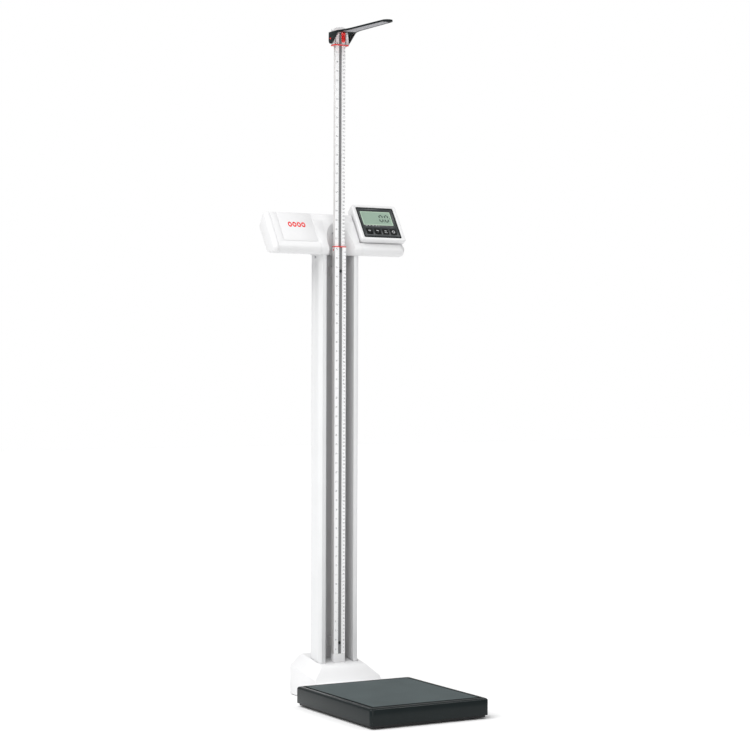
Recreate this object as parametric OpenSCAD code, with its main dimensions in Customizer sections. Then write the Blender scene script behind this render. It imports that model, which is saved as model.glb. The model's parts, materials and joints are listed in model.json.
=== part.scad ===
// Column weighing scale with a raised display, a low platform and a telescopic height rod.
// Millimetres, +Z up, the front looks along -Y, origin on the floor under the middle of the overall box.

/* [Platform] */
// Width of the platform across the front
platform_w = 348; // [320:2:356]
// Depth of the platform from front to back
platform_d = 403; // [390:1:410]
// Height of the standing surface above the floor
platform_h = 54; // [52:1:58]
// Width of the rim beside and behind the tread mat
rim_w = 13; // [10:1:16]
// Width of the rim in front of the tread mat, which rolls down to the front face
front_rim_w = 16; // [14:1:24]
// Radius of the upright corners of the platform cover
platform_r = 8; // [6:0.5:9]

/* [Column] */
// Overall depth from the front of the platform to the back of the base
overall_d = 583; // [580:1:590]
// Half the width of the column
column_half_w = 61; // [60:0.5:62]
// Half the width of the recess between the two uprights
recess_half_w = 43; // [41:0.5:44]
// Depth of the column from its front faces to its back
column_d = 53; // [51:0.5:54]
// Height of the lower edge of the crossbar above the floor
skirt_z = 1206; // [1205:0.5:1207]

/* [Height rod] */
// Half the width of the outer rod
rod_half_w = 17; // [16.5:0.5:17]
// Height of the top of the outer rod
rod_top_z = 1227; // [1220:1:1230]
// Height of the underside of the head slider as stored
head_z = 1777; // [1700:1:1800]
// Length of the inner rod below the head slider's underside
inner_below_head = 965; // [940:5:980]

/* [Tongue] */
// Distance that the tongue reaches in front of the rulers
tongue_reach = 266; // [240:1:290]
// Angle that the tongue hangs below level
tongue_droop = 1; // [0:0.5:2]
// Width of the tongue at its free end
tongue_tip_w = 28; // [26:1:40]

/* [Crossbar] */
// Distance from the middle to each end of the crossbar
crossbar_half_w = 207; // [205:1:210]
// Angle that the display leans back from upright
display_tilt = 33; // [32:0.1:34]
// Distance of the display's middle from the middle of the column
display_x = 133.5; // [132:0.5:134]

/* [Hidden] */
$fn = 48;

// Small gaps: between pieces that move past each other, and between fixed pieces
move_gap = 0.3;
fit_gap = 0.4;
// Radial play of a pin or stud in its hole
pin_play = 0.05;
eps = 0.01;

// Main positions along Y
front_y = -overall_d / 2;
back_y = overall_d / 2;
platform_y = front_y + platform_d / 2;
rod_y = front_y + 483;

// Heights in the platform
frame_z0 = 3.4;
frame_z1 = 9.6;
frame_sheet = 3;
frame_inset = 7;
cover_z0 = 10;
mat_proud = 0.8;
rim_z = platform_h - mat_proud;
cover_wall = 3.2;
mat_t = 2.2;
mat_groove = 1;
plate_t = 3;
plate_inset = rim_w + 1;
plate_z1 = platform_h - mat_t - cover_wall - move_gap;
plate_rib_h = 6;
front_room_z = rim_z - 12;
cell_x = 118;
cell_y = 125;
cell_l = 80;
cell_s = 14;
cell_pad_h = 4;
foot_x = platform_w / 2 - 39;
foot_y = platform_d / 2 - 34;
foot_pad_r = 20;
foot_pad_h = 6.2;
rear_pad_x = 43;
rear_pad_y = 45;
stud_r = 4;
stud_top_z = 24;

// Base behind the platform, measured from the front face of the rulers
base_half_w = 100;
base_front = -75;
base_back = back_y - rod_y;
base_plateau_half_w = 65;
base_lip_z = 50;
base_plateau_z = 94;
base_rise = 0.165;
base_slope_y0 = -16;
base_slope_run = 37;
base_slope_top = base_plateau_z + base_rise * base_slope_y0;
base_gap = 1.3;
base_wall = 3;
base_z0 = 2;
column_foot_t = 8;
column_foot_z1 = frame_z1 + column_foot_t;
column_bolt_y = [-10, 58];
wheel_r = 22;
wheel_w = 17;
wheel_y = 76.5;
wheel_z = 23.8;
wheel_x = 79;
axle_r = 4;

// Column section
column_wall = 2.2;
liner_t = 1.2;
chamfer_x = 6.5;
chamfer_y = 10;
recess_back = 48;
web_back = 50.5;
column_top_z = 1290;
cable_r = 2.2;
cable_x = 52.6;
cable_y = 26;
cable_exit_z = 1240;

// Rod sections
strip_t = 0.5;
rod_d = 17;
rod_wall = 1.8;
groove_x0 = -4.1;
groove_x1 = 5.7;
groove_floor = 2.3;
groove_web = 1.2;
cavity_y0 = groove_floor + groove_web;
cavity_y1 = rod_d - rod_wall;
cavity_half_w = rod_half_w - rod_wall;
inner_half_w = cavity_half_w - move_gap;
inner_y0 = cavity_y0 + move_gap;
inner_y1 = cavity_y1 - move_gap;
inner_groove_half_w = 4.3;
inner_groove_d = 2;
side_groove_d = 1.9;
side_groove_h = 6;
rod_mid_y = (inner_y0 + inner_y1) / 2;
rod_foot_z = 88;
rod_body_z = 117;
collar_t = 2.5;
standoff_z = [147, 1162];
standoff_half_w = 9;
latch_z = 1220;
latch_r = 2.5;
latch_proud = 0.5;

// Head slider and tongue
head_half_w = 22.5;
head_y0 = -4.6;
head_y1 = 20;
head_h = 35;
head_line_t = 3;
channel_half_w = rod_half_w + 0.9;
channel_y0 = -1.2;
channel_y1 = 18.2;
rear_slot_half_w = 12;
pivot_y = 10;
corner_cut = 1.5;
corner_lean = 7;
pivot_z = head_z + 19;
pin_r = 2.5;
brake_y = -13;
brake_stem_r = 2.6;
brake_pill_r = 5.7;
brake_pill_z = 12.2;
brake_ball_r = 6.1;
brake_ball_z = 30;
plate_in = 24.8;
plate_out = 28;
blade_z0 = head_z + 32.5;
blade_z1 = head_z + 37.5;
blade_root_y = -20;
blade_neck_y = -32;
blade_waist_y = -92;
blade_waist_half_w = 17.4;
blade_rim = 2.4;
blade_skin = 1.8;
rib_pitch = 11;
rib_w = 7;
inner_top_z = head_z + 38;
dome_half_w = 22.3;
dome_h = 13.5;
dome_r = 47;
inner_bottom_z = head_z - inner_below_head;

// Crossbar section in the Y-Z plane: [y, z, radius] of its rounded corners
crossbar_corners = [[3, 1219, 14], [30, 1221, 14], [74, 1281, 12], [57.5, 1308.5, 12]];
crossbar_wall = 2.4;
bridge_half_w = column_half_w + 2.6;
bridge_solid_y = column_d + 4;
skirt_t = 2.2;
skirt_top_z = 1300;
scoop_r = 40.6;
scoop_y = -6.6;
scoop_screw = [-6, 1267];
housing_x0 = bridge_half_w + fit_gap;
end_cap_x = 192;
housing_x1 = 184;
door_x0 = -172;
door_x1 = -68;
front_lean = atan2(54.5, 89.5);
door_low = [-7, 1245];
door_r = 6;
battery_r = 7.1;
battery_l = 50;
battery_first = [14, 1237];
battery_pitch = 15.4;

// Display head, in a frame that lies on its face: X right, Y up the slope, Z out of the face
display_y = 21.5;
display_z = 1298.7;
face_half_w = 70;
face_low = -58.5;
face_high = 63.5;
face_r = 8;
head_depth = 30;
split_depth = 15;
shell_wall = 2.4;
window_half_w = 59;
window_x = -1.3;
window_y = 2;
window_half_h = 51.4;
window_t = 2.4;
window_set = 0.6;
lcd_x = -2.6;
lcd_y = 17.4;
lcd_w = 94.6;
lcd_h = 46.4;
key_s = 19;
key_y = -27.9;
key_x = [-38.3, -13, 12.5, 37];
key_proud = 0.5;
key_t = 4.5;
lcd_back = 8;
board_z = 10.4;
board_t = 1.6;

white = [0.93, 0.93, 0.93];
grey = [0.42, 0.43, 0.44];
black = [0.09, 0.10, 0.10];
red = [0.86, 0.10, 0.08];
steel = [0.62, 0.63, 0.65];
aluminium = [0.80, 0.81, 0.82];

// ---------- helpers ----------

// Frame of the column: the front face of the rulers is Y = 0
module at_column() translate([0, rod_y, 0]) children();

module at_platform() translate([0, platform_y, 0]) children();

// Puts its children at the four points (+-x, +-y)
module at_corners(x, y) {
    for (sx = [-1, 1], sy = [-1, 1]) translate([sx * x, sy * y, 0]) children();
}

module box(x0, x1, y0, y1, z0, z1) translate([x0, y0, z0]) cube([x1 - x0, y1 - y0, z1 - z0]);

// Solid whose Y-Z section is the child and which runs along X from x0 to x1
module along_x(x0, x1) translate([x0, 0, 0]) rotate([90, 0, 90]) linear_extrude(x1 - x0) children();

module rod_along_x(x0, x1, y, z, r) translate([x0, y, z]) rotate([0, 90, 0]) cylinder(r = r, h = x1 - x0);

module rod_along_y(y0, y1, x, z, r) translate([x, y0, z]) rotate([-90, 0, 0]) cylinder(r = r, h = y1 - y0);

// Rounded rectangle with its corners as true arcs
module round_rect(x0, x1, y0, y1, r) {
    translate([x0 + r, y0]) square([x1 - x0 - 2 * r, y1 - y0]);
    translate([x0, y0 + r]) square([x1 - x0, y1 - y0 - 2 * r]);
    for (x = [x0 + r, x1 - r], y = [y0 + r, y1 - r]) translate([x, y]) circle(r = r);
}

// ---------- platform ----------

module frame_outline(grow) {
    inset = frame_inset - grow;
    translate([-platform_w / 2 + inset, front_y + inset])
        square([platform_w - 2 * inset, platform_d - 2 * inset]);
    translate([-62 - grow, platform_y]) square([124 + 2 * grow, rod_y + 92 + grow - platform_y]);
}

// Pressed steel tray under the platform, with a tail that carries the column and the axle
module base_frame() color(black) {
    difference() {
        union() {
            difference() {
                translate([0, 0, frame_z0]) linear_extrude(frame_z1 - frame_z0) frame_outline(0);
                translate([0, 0, frame_z0 - 1]) linear_extrude(frame_z1 - frame_sheet - frame_z0 + 1)
                    frame_outline(-frame_sheet);
            }
            at_platform() at_corners(foot_x, foot_y)
                translate([0, 0, frame_z1 - 1]) cylinder(r = 9, h = 11);
            at_column() for (s = [-1, 1])
                box(s * 64 - 2, s * 64 + 2, 62, 91, frame_z0, 36);
        }
        at_platform() at_corners(foot_x, foot_y)
            translate([0, 0, -1]) cylinder(r = stud_r + pin_play, h = 40);
        at_column() rod_along_x(-70, 70, wheel_y, wheel_z, axle_r + pin_play);
    }
}

// Four bending-beam load cells, each fixed at its outer end
module load_cells() color(aluminium)
    at_platform() for (sx = [-1, 1], sy = [-1, 1]) translate([sx * cell_x, sy * cell_y, frame_z1])
        difference() {
            union() {
                translate([-cell_s / 2, -cell_l / 2, cell_pad_h]) cube([cell_s, cell_l, cell_s]);
                translate([-cell_s / 2, sy > 0 ? cell_l / 2 - 26 : -cell_l / 2, 0])
                    cube([cell_s, 26, cell_pad_h + 1]);
            }
            for (y = [-7, 7]) translate([-10, y, cell_pad_h + cell_s / 2])
                rotate([0, 90, 0]) cylinder(r = 4.5, h = 20);
            translate([0, sy * (cell_l / 2 - 13), 8]) cylinder(r = 3.05, h = 20);
        }

module load_cell_bolts() color(steel)
    at_platform() for (sx = [-1, 1], sy = [-1, 1])
        translate([sx * cell_x, sy * (cell_y + cell_l / 2 - 13), frame_z1]) {
            translate([0, 0, 8.2]) cylinder(r = 3, h = cell_s + cell_pad_h - 8 + 1);
            translate([0, 0, cell_s + cell_pad_h + eps]) cylinder(r = 5, h = 3.5);
        }

// Rubber-topped load buttons on the free ends of the load cells
module load_buttons() color(grey)
    at_platform() for (sx = [-1, 1], sy = [-1, 1])
        translate([sx * cell_x, sy * (cell_y - cell_l / 2 + 10), frame_z1 + cell_pad_h + cell_s + eps])
            cylinder(r = 6,
                h = plate_z1 - plate_t - plate_rib_h - frame_z1 - cell_pad_h - cell_s - 2 * eps);

module platform_plate() color(steel)
    at_platform() {
        translate([plate_inset - platform_w / 2, front_rim_w + 1 - platform_d / 2, plate_z1 - plate_t])
            cube([platform_w - 2 * plate_inset, platform_d - plate_inset - front_rim_w - 1, plate_t - eps]);
        for (s = [-1, 1])
            translate([s * cell_x - 12, 30 - platform_d / 2, plate_z1 - plate_t - plate_rib_h])
                cube([24, platform_d - 60, plate_rib_h + 1]);
        for (y = [-90, 0, 90])
            translate([13 - cell_x, y - 2, plate_z1 - plate_t - plate_rib_h])
                cube([2 * cell_x - 26, 4, plate_rib_h + 1]);
    }

// Cover outline pulled in by side on three sides and by front at the front, from z0 to z1
module cover_slab(side, front, z0, z1) translate([0, 0, z0]) linear_extrude(z1 - z0)
    round_rect(side - platform_w / 2, platform_w / 2 - side, front - platform_d / 2, platform_d / 2 - side,
        platform_r, $fn = 32);

// Rectangle of the tread mat, grown all round by g
module mat_outline(g, r) round_rect(rim_w - g - platform_w / 2, platform_w / 2 - rim_w + g,
    front_rim_w - g - platform_d / 2, platform_d / 2 - rim_w + g, r);

// Moulded cover with a tray for the mat and a front edge that rolls down further than the others
module platform_cover() color(black)
    at_platform() difference() {
        hull() {
            cover_slab(0, 0, cover_z0, rim_z - 5.2);
            cover_slab(0.5, 0.7, rim_z - 4.4, rim_z - 3.6);
            cover_slab(2, 3, rim_z - 2.2, rim_z - 1.5);
            cover_slab(6, 8.5, rim_z - 0.6, rim_z);
        }
        translate([cover_wall - platform_w / 2, cover_wall - platform_d / 2, cover_z0 - 1])
            cube([platform_w - 2 * cover_wall, platform_d - 2 * cover_wall, front_room_z - cover_z0 + 1]);
        translate([rim_w - platform_w / 2, front_rim_w - platform_d / 2, cover_z0 - 1])
            cube([platform_w - 2 * rim_w, platform_d - rim_w - front_rim_w, plate_z1 - cover_z0 + 1]);
        translate([0, 0, platform_h - mat_t]) linear_extrude(mat_t + 1) mat_outline(0, 3);
    }

module tread_mat() color(black)
    at_platform() translate([0, 0, platform_h - mat_t + eps]) linear_extrude(mat_t - eps)
        mat_outline(-mat_groove, 3);

// Screw-in levelling foot: a chamfered pad on a stud
module levelling_foot(sx, sy) color(black)
    at_platform() translate([sx * foot_x, sy * foot_y, 0]) {
        rotate_extrude() polygon([[0, 0], [foot_pad_r - 2, 0], [foot_pad_r, 2],
            [foot_pad_r, foot_pad_h - 1], [foot_pad_r - 1, foot_pad_h], [0, foot_pad_h]]);
        cylinder(r = stud_r, h = stud_top_z);
    }

module foot_front_left() levelling_foot(-1, -1);
module foot_front_right() levelling_foot(1, -1);
module foot_rear_left() levelling_foot(-1, 1);
module foot_rear_right() levelling_foot(1, 1);

// Fixed rubber pads under the tail of the tray, which carry the column's weight
module rear_pads() color(black)
    at_column() for (s = [-1, 1]) translate([s * rear_pad_x, rear_pad_y, 0]) rotate_extrude()
        polygon([[0, 0], [12, 0], [14, 2], [14, frame_z1 - frame_sheet - eps],
            [0, frame_z1 - frame_sheet - eps]]);

// ---------- base behind the platform ----------

// Side view of the base cover: a low lip, a rounded front slope, a plateau that rises to the back
module base_side(inset) {
    foot_z = inset > 0 ? base_z0 - 5 : base_z0;
    slope = [for (s = [1:-0.1:0])
        let (drop = 0.5 + 0.5 * cos(180 * s), bulge = 1 - s * s)
        [base_slope_y0 + inset * s - s * base_slope_run,
         base_lip_z - inset + (base_slope_top - base_lip_z) * (drop + bulge) / 2]];
    polygon(concat(
        [[base_front + inset, foot_z], [base_front + inset, base_lip_z - inset - 1]],
        slope,
        [[base_back - 4, base_plateau_z - inset + base_rise * base_back],
         [base_back - inset, base_plateau_z - inset + base_rise * base_back - 4],
         [base_back - inset, foot_z]]));
}

// End view of the base cover, tilted with the plateau
module base_end(inset) {
    w = base_half_w - inset;
    p = base_plateau_half_w - inset * 0.5;
    z1 = base_plateau_z - inset;
    polygon([[-w, -60], [-w, z1 - 30], [-p, z1], [p, z1], [w, z1 - 30], [w, -60]]);
}

module base_body(inset) intersection() {
    along_x(-base_half_w - 1, base_half_w + 1) base_side(inset);
    rotate([atan(base_rise), 0, 0]) translate([0, 200, 0]) rotate([90, 0, 0])
        linear_extrude(400) base_end(inset);
}

module base_cover() color(white)
    at_column() difference() {
        base_body(0);
        base_body(base_wall);
        translate([0, 0, 20]) linear_extrude(200) column_outline(base_gap);
        box(-rod_half_w - base_gap, rod_half_w + base_gap, -1.6, rod_d + base_gap, 60, 200);
        // way through the front wall for the tail of the tray
        box(-63.5, 63.5, base_front - 5, base_front + base_wall + 5, -5, frame_z1 + fit_gap);
        // arches that let the wheels reach out at the back
        for (s = [-1, 1]) box(s * wheel_x - 11.5, s * wheel_x + 11.5, wheel_y + 8, base_back + 5, -5, 48);
    }

// Steel shoe that the column stands on, with a tongue up each upright
module column_foot() color(steel)
    at_column() difference() {
        union() {
            box(-59, 59, -20, 66, frame_z1 + eps, column_foot_z1);
            for (s = [-1, 1])
                box(s * 52.6 - 5.5, s * 52.6 + 5.5, 31, 49, frame_z1 + 1, 90);
        }
        for (s = [-1, 1], y = column_bolt_y) translate([s * 36, y, 0]) cylinder(r = 3.1, h = 40);
    }

module column_bolts() color(steel)
    at_column() for (s = [-1, 1], y = column_bolt_y) translate([s * 36, y, frame_z1 + eps]) {
        cylinder(r = 3, h = column_foot_t + 1);
        translate([0, 0, column_foot_t + 2 * eps]) cylinder(r = 5.5, h = 4, $fn = 6);
    }

module wheel_axle() color(steel)
    at_column() {
        rod_along_x(-91, 91, wheel_y, wheel_z, axle_r);
        for (s = [-1, 1]) rod_along_x(s * 91 - 1.5, s * 91 + 1.5, wheel_y, wheel_z, 7);
    }

// Solid transport wheel with rounded tread and a bore for the axle
module wheel(side) color(grey)
    at_column() translate([side * wheel_x, wheel_y, wheel_z]) rotate([0, 90, 0]) rotate_extrude()
        polygon([[axle_r + pin_play, -wheel_w / 2], [10, -wheel_w / 2], [12, -wheel_w / 2 + 3],
            [17, -wheel_w / 2 + 3], [18, -wheel_w / 2 + 1], [wheel_r - 2, -wheel_w / 2 + 1],
            [wheel_r, -wheel_w / 2 + 4], [wheel_r, wheel_w / 2 - 4], [wheel_r - 2, wheel_w / 2 - 1],
            [18, wheel_w / 2 - 1], [17, wheel_w / 2 - 3], [12, wheel_w / 2 - 3],
            [10, wheel_w / 2], [axle_r + pin_play, wheel_w / 2]]);

module wheel_left() wheel(-1);
module wheel_right() wheel(1);

// ---------- column ----------

// Outline of the column with its recess, grown all round by g
module column_outline(g) {
    w = column_half_w + g;
    r = recess_half_w - g;
    difference() {
        polygon([[-w, column_d + g], [w, column_d + g], [w, chamfer_y], [w - chamfer_x, -g],
            [-w + chamfer_x, -g], [-w, chamfer_y]]);
        translate([-r, -g - 1]) square([2 * r, recess_back - liner_t + 1]);
    }
}

// Extruded column: two hollow uprights joined by a web
module column_profile() color(white) {
    wall_in = recess_half_w + liner_t;
    at_column() difference() {
        translate([0, 0, column_foot_z1 + eps]) linear_extrude(column_top_z - column_foot_z1)
            difference() {
                polygon([[-column_half_w, column_d], [-wall_in - 2, column_d],
                    [-wall_in, web_back], [wall_in, web_back], [wall_in + 2, column_d],
                    [column_half_w, column_d], [column_half_w, chamfer_y],
                    [column_half_w - chamfer_x, 0], [recess_half_w, 0], [recess_half_w, 1.5],
                    [wall_in, 1.5], [wall_in, recess_back], [-wall_in, recess_back],
                    [-wall_in, 1.5], [-recess_half_w, 1.5], [-recess_half_w, 0],
                    [-column_half_w + chamfer_x, 0], [-column_half_w, chamfer_y]]);
                for (s = [-1, 1]) scale([s, 1])
                    polygon([[wall_in + column_wall, column_wall],
                        [column_half_w - chamfer_x - 1, column_wall],
                        [column_half_w - column_wall, chamfer_y + 0.5],
                        [column_half_w - column_wall, column_d - column_wall],
                        [wall_in + column_wall, column_d - column_wall]]);
            }
        rod_along_x(cable_x, 70, cable_y, cable_exit_z, 4);
        for (s = [-1, 1]) rod_along_x(s * 60 - 4, s * 60 + 4, 30, 1199, 1.55);
        ahead_of_crossbar(-crossbar_wall - fit_gap);
    }
}

// Grey insert that lines the recess
module recess_liner() color(grey)
    at_column() translate([0, 0, 106]) linear_extrude(skirt_z - 96) difference() {
        w = recess_half_w + liner_t - eps;
        translate([-w, 1.5 + eps]) square([2 * w, recess_back - 1.5 - 2 * eps]);
        translate([-recess_half_w, 0]) square([2 * recess_half_w, recess_back - liner_t]);
    }

// Lead from the load cells up the right-hand upright to the display board
module signal_cable() color(black) {
    turn = [111.5, cable_y, cable_exit_z];
    top = [111.5, 20.5, 1256];
    at_column() {
        translate([cable_x, cable_y, column_foot_z1 + 1])
            cylinder(r = cable_r, h = cable_exit_z - column_foot_z1 - 1);
        translate([cable_x, cable_y, cable_exit_z]) sphere(r = cable_r + 0.5);
        rod_along_x(cable_x, turn[0], cable_y, cable_exit_z, cable_r);
        translate(turn) sphere(r = cable_r + 0.5);
        translate(turn) rotate([atan2(cable_y - top[1], top[2] - turn[2]), 0, 0])
            cylinder(r = cable_r, h = norm(top - turn));
    }
}

// ---------- height rod ----------

// Outer rod: a box section with a shallow channel down its front
module rod_outer() color(aluminium)
    at_column() difference() {
        translate([0, 0, rod_body_z + eps]) linear_extrude(rod_top_z - rod_body_z - 2 * eps) difference() {
            translate([-rod_half_w, strip_t]) square([2 * rod_half_w, rod_d - strip_t]);
            translate([groove_x0, -1]) square([groove_x1 - groove_x0, groove_floor + 1]);
            translate([-cavity_half_w, cavity_y0]) square([2 * cavity_half_w, cavity_y1 - cavity_y0]);
        }
        rod_along_x(-rod_half_w - 1, -rod_half_w + 4, rod_mid_y, latch_z, latch_r + pin_play);
        for (z = standoff_z) rod_along_y(0, cavity_y0 + 0.5, (groove_x0 + groove_x1) / 2, z, 1.55);
    }

// Printed ruler strip on the face of a rod
module ruler_strip(x0, x1, y, z0, z1) color("white")
    at_column() box(x0, x1, y, y + strip_t - eps, z0, z1);

module inch_scale_outer() ruler_strip(-rod_half_w, groove_x0, 0, rod_body_z + 1, rod_top_z - eps);
module cm_scale_outer() ruler_strip(groove_x1, rod_half_w, 0, rod_body_z + 1, rod_top_z - eps);

// Plug that closes the foot of the outer rod and stands in the base cover
module rod_foot_cap() color(white)
    at_column() {
        box(-rod_half_w - 0.3, rod_half_w + 0.3, -0.5, rod_d + 0.4, rod_foot_z, rod_body_z);
        box(-cavity_half_w + 0.2, cavity_half_w - 0.2, cavity_y0 + 0.2, cavity_y1 - 0.2, rod_body_z - 1,
            rod_body_z + 14);
    }

// Blocks that hold the outer rod out in front of the recess
module rod_standoffs() color(aluminium)
    at_column() for (z = standoff_z)
        box(-standoff_half_w, standoff_half_w, rod_d + eps, recess_back - liner_t - eps, z - 13, z + 13);

module rod_screws() color(black)
    at_column() for (z = standoff_z) {
        x = (groove_x0 + groove_x1) / 2;
        rod_along_y(0.7, groove_floor - eps, x, z, 4.2);
        rod_along_y(1.5, cavity_y0 - 0.1, x, z, 1.5);
    }

// Red collar whose top edge is the reading line of the inner rod
module rod_index_collar() color(red)
    at_column() translate([0, 0, rod_top_z]) linear_extrude(collar_t) difference() {
        translate([-rod_half_w - 0.4, -0.4]) square([2 * rod_half_w + 0.8, rod_d + 0.8]);
        translate([-cavity_half_w, cavity_y0]) square([2 * cavity_half_w, cavity_y1 - cavity_y0]);
    }

// Red catch button in the side of the outer rod
module latch_button() color(red)
    at_column() rod_along_x(-rod_half_w - latch_proud, -inner_half_w - 0.8, rod_mid_y, latch_z, latch_r);

// Inner rod: channels down its front and both sides
module rod_inner() color(aluminium)
    at_column() translate([0, 0, inner_bottom_z]) linear_extrude(inner_top_z - inner_bottom_z)
        difference() {
            translate([-inner_half_w, inner_y0 + strip_t])
                square([2 * inner_half_w, inner_y1 - inner_y0 - strip_t]);
            translate([-inner_groove_half_w, inner_y0 - 1])
                square([2 * inner_groove_half_w, inner_groove_d + 1]);
            for (s = [-1, 1]) translate([s * inner_half_w - side_groove_d, rod_mid_y - side_groove_h / 2])
                square([2 * side_groove_d, side_groove_h]);
            translate([-9, inner_y0 + 4]) square([18, inner_y1 - inner_y0 - 6]);
        }

module inch_scale_inner()
    ruler_strip(-inner_half_w, -inner_groove_half_w, inner_y0, inner_bottom_z + 40, inner_top_z);

module cm_scale_inner()
    ruler_strip(inner_groove_half_w, inner_half_w, inner_y0, inner_bottom_z + 40, inner_top_z);

// Glide that keeps the foot of the inner rod centred in the outer rod
module rod_glide_shoe() color(black)
    at_column() box(-inner_half_w, inner_half_w, inner_y0, inner_y1,
        inner_bottom_z - 16, inner_bottom_z - eps);

// Domed cap on the top of the inner rod, as wide as the slider under it
module rod_top_cap() color(white)
    at_column() translate([0, rod_mid_y, inner_top_z]) difference() {
        intersection() {
            union() {
                box(-dome_half_w, dome_half_w, -8.8, 8.8, move_gap, 16);
                box(-rod_half_w, rod_half_w, -8.8, 8.8, -2.5, 1);
            }
            translate([0, 10, dome_h - dome_r]) rotate([90, 0, 0]) cylinder(r = dome_r, h = 20, $fn = 96);
        }
        box(-inner_half_w - 0.1, inner_half_w + 0.1, inner_y0 - 0.1 - rod_mid_y, inner_y1 + 0.1 - rod_mid_y,
            -5, eps);
    }

// ---------- head slider ----------

// C-shaped section that passes over both rods and is open behind for the standoffs
module head_section(grow) difference() {
    round_rect(-head_half_w - grow, head_half_w + grow, head_y0 - grow, head_y1 + grow, 4);
    translate([-channel_half_w, channel_y0]) square([2 * channel_half_w, channel_y1 - channel_y0]);
    translate([-rear_slot_half_w, channel_y0]) square([2 * rear_slot_half_w, 40]);
}

// Wedge that bevels a front corner of the slider, more and more towards the top
module corner_wedge(s) translate([s * head_half_w, head_y0 + corner_cut, head_z + head_line_t])
    rotate([0, 0, -s * 45]) rotate([-corner_lean, 0, 0]) translate([-20, -20, -1]) cube([40, 20, 50]);

module head_slider() color(white)
    at_column() difference() {
        translate([0, 0, head_z + head_line_t + eps]) linear_extrude(head_h - head_line_t) head_section(0);
        for (s = [-1, 1]) {
            rod_along_x(s * 22 - 8, s * 22 + 8, pivot_y, pivot_z, pin_r + 0.02);
            corner_wedge(s);
        }
        rod_along_y(head_y0 - 1, channel_y0 + 1, 0, head_z + 23, brake_stem_r + pin_play);
    }

module head_index_line() color(red)
    at_column() translate([0, 0, head_z]) linear_extrude(head_line_t) head_section(0.3);

module pivot_pins() color(red)
    at_column() for (s = [-1, 1]) {
        x0 = channel_half_w + 0.2;
        x1 = plate_out + 1;
        rod_along_x(s > 0 ? x0 : -x1, s > 0 ? x1 : -x0, pivot_y, pivot_z, pin_r);
    }

// Red brake button: a ball over a pill, on a stem through the front of the slider
module release_button() color(red) at_column() {
    rod_along_y(brake_y + 2, channel_y0 - 1.7, 0, head_z + 23, brake_stem_r);
    translate([0, brake_y, head_z]) rotate_extrude() polygon(concat(
        [[0, brake_pill_z - brake_pill_r]],
        [for (a = [-75:15:0]) [brake_pill_r * cos(a), brake_pill_z + brake_pill_r * sin(a)]],
        [for (a = [-40:10:80]) [brake_ball_r * cos(a), brake_ball_z + brake_ball_r * sin(a)]],
        [[0, brake_ball_z + brake_ball_r]]));
}

// Tilts the whole tongue about its pivot
module at_tongue() at_column() translate([0, pivot_y, pivot_z]) rotate([tongue_droop, 0, 0])
    translate([0, -pivot_y, -pivot_z]) children();

// Side of the fork: rounded round the pin, slanting forward to the blade
module fork_side() {
    r = 11;
    polygon(concat(
        [[pivot_y + r - 1, blade_z1], [pivot_y + r, blade_z1 - 1]],
        [for (a = [0:-12.5:-125]) [pivot_y + r * cos(a), pivot_z - 3 + r * sin(a)]],
        [[blade_neck_y + 3, blade_z0 - 2], [blade_neck_y - 3, blade_z0 + 1],
         [blade_neck_y - 3, blade_z1]]));
}

// Half width of the blade at depth y: a short concave neck, then a straight taper to the tip
function blade_half(y) = let (
        n = min(1, (blade_neck_y - y) / (blade_neck_y - blade_waist_y)),
        t = (blade_waist_y - y) / (tongue_reach + blade_waist_y))
    y > blade_waist_y
        ? blade_waist_half_w + (plate_out - blade_waist_half_w) * pow(1 - n, 2)
        : blade_waist_half_w + (tongue_tip_w / 2 - blade_waist_half_w) * t;

// Blade seen from above, with a round tip; shrink leaves a rim of that width
module blade_outline(shrink) {
    tip = tongue_tip_w / 2;
    tip_y = -tongue_reach + tip;
    neck = [for (k = [0:6]) blade_neck_y + (blade_waist_y - blade_neck_y) * k / 6];
    side = concat([blade_root_y - shrink], neck, [tip_y]);
    polygon(concat(
        [for (y = side) [blade_half(min(y, blade_neck_y)) - shrink, y]],
        [for (a = [-10:-10:-170]) [(tip - shrink) * cos(a), tip_y + (tip - shrink) * sin(a)]],
        [for (i = [len(side) - 1:-1:0]) [shrink - blade_half(min(side[i], blade_neck_y)), side[i]]]));
}

module tongue() color(black)
    at_tongue() difference() {
        union() {
            translate([0, 0, blade_z0]) linear_extrude(blade_z1 - blade_z0) blade_outline(0);
            for (s = [-1, 1]) along_x(s > 0 ? plate_in : -plate_out, s > 0 ? plate_out : -plate_in)
                fork_side();
        }
        translate([0, 0, blade_z0 - 1]) linear_extrude(blade_z1 - blade_z0 - blade_skin + 1)
            difference() {
                blade_outline(blade_rim);
                translate([-50, blade_neck_y - 5]) square([100, 40]);
            }
        rod_along_x(-40, 40, pivot_y, pivot_z, pin_r + pin_play + 0.02);
    }

// Grey ribs across the hollow underside of the blade
module tongue_ribs() color(aluminium)
    at_tongue() for (y = [blade_neck_y - 16:-rib_pitch:-tongue_reach + 22]) {
        half = blade_half(y - rib_w / 2) - blade_rim - 0.4;
        box(-half, half, y - rib_w / 2, y + rib_w / 2, blade_z0 + 0.6, blade_z1 - blade_skin - eps);
    }

// ---------- crossbar ----------

// Y-Z section of the crossbar, shrunk all round by inset
module crossbar_section(inset) hull() for (c = crossbar_corners) translate([c[0], c[1]])
    circle(r = c[2] - inset, $fn = 40);

// Frame on the front face of the left housing at the door's lower edge: Y up the slope, Z out of the face
module at_door() translate([0, door_low[0], door_low[1]]) rotate([90 - front_lean, 0, 0]) children();

// Block through the front face with the door's rounded lower corners, grown by grow
module door_block(grow) at_door() translate([0, 0, -60]) linear_extrude(120)
    round_rect(door_x0 - grow, door_x1 + grow, -grow, 150, door_r + grow);

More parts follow.
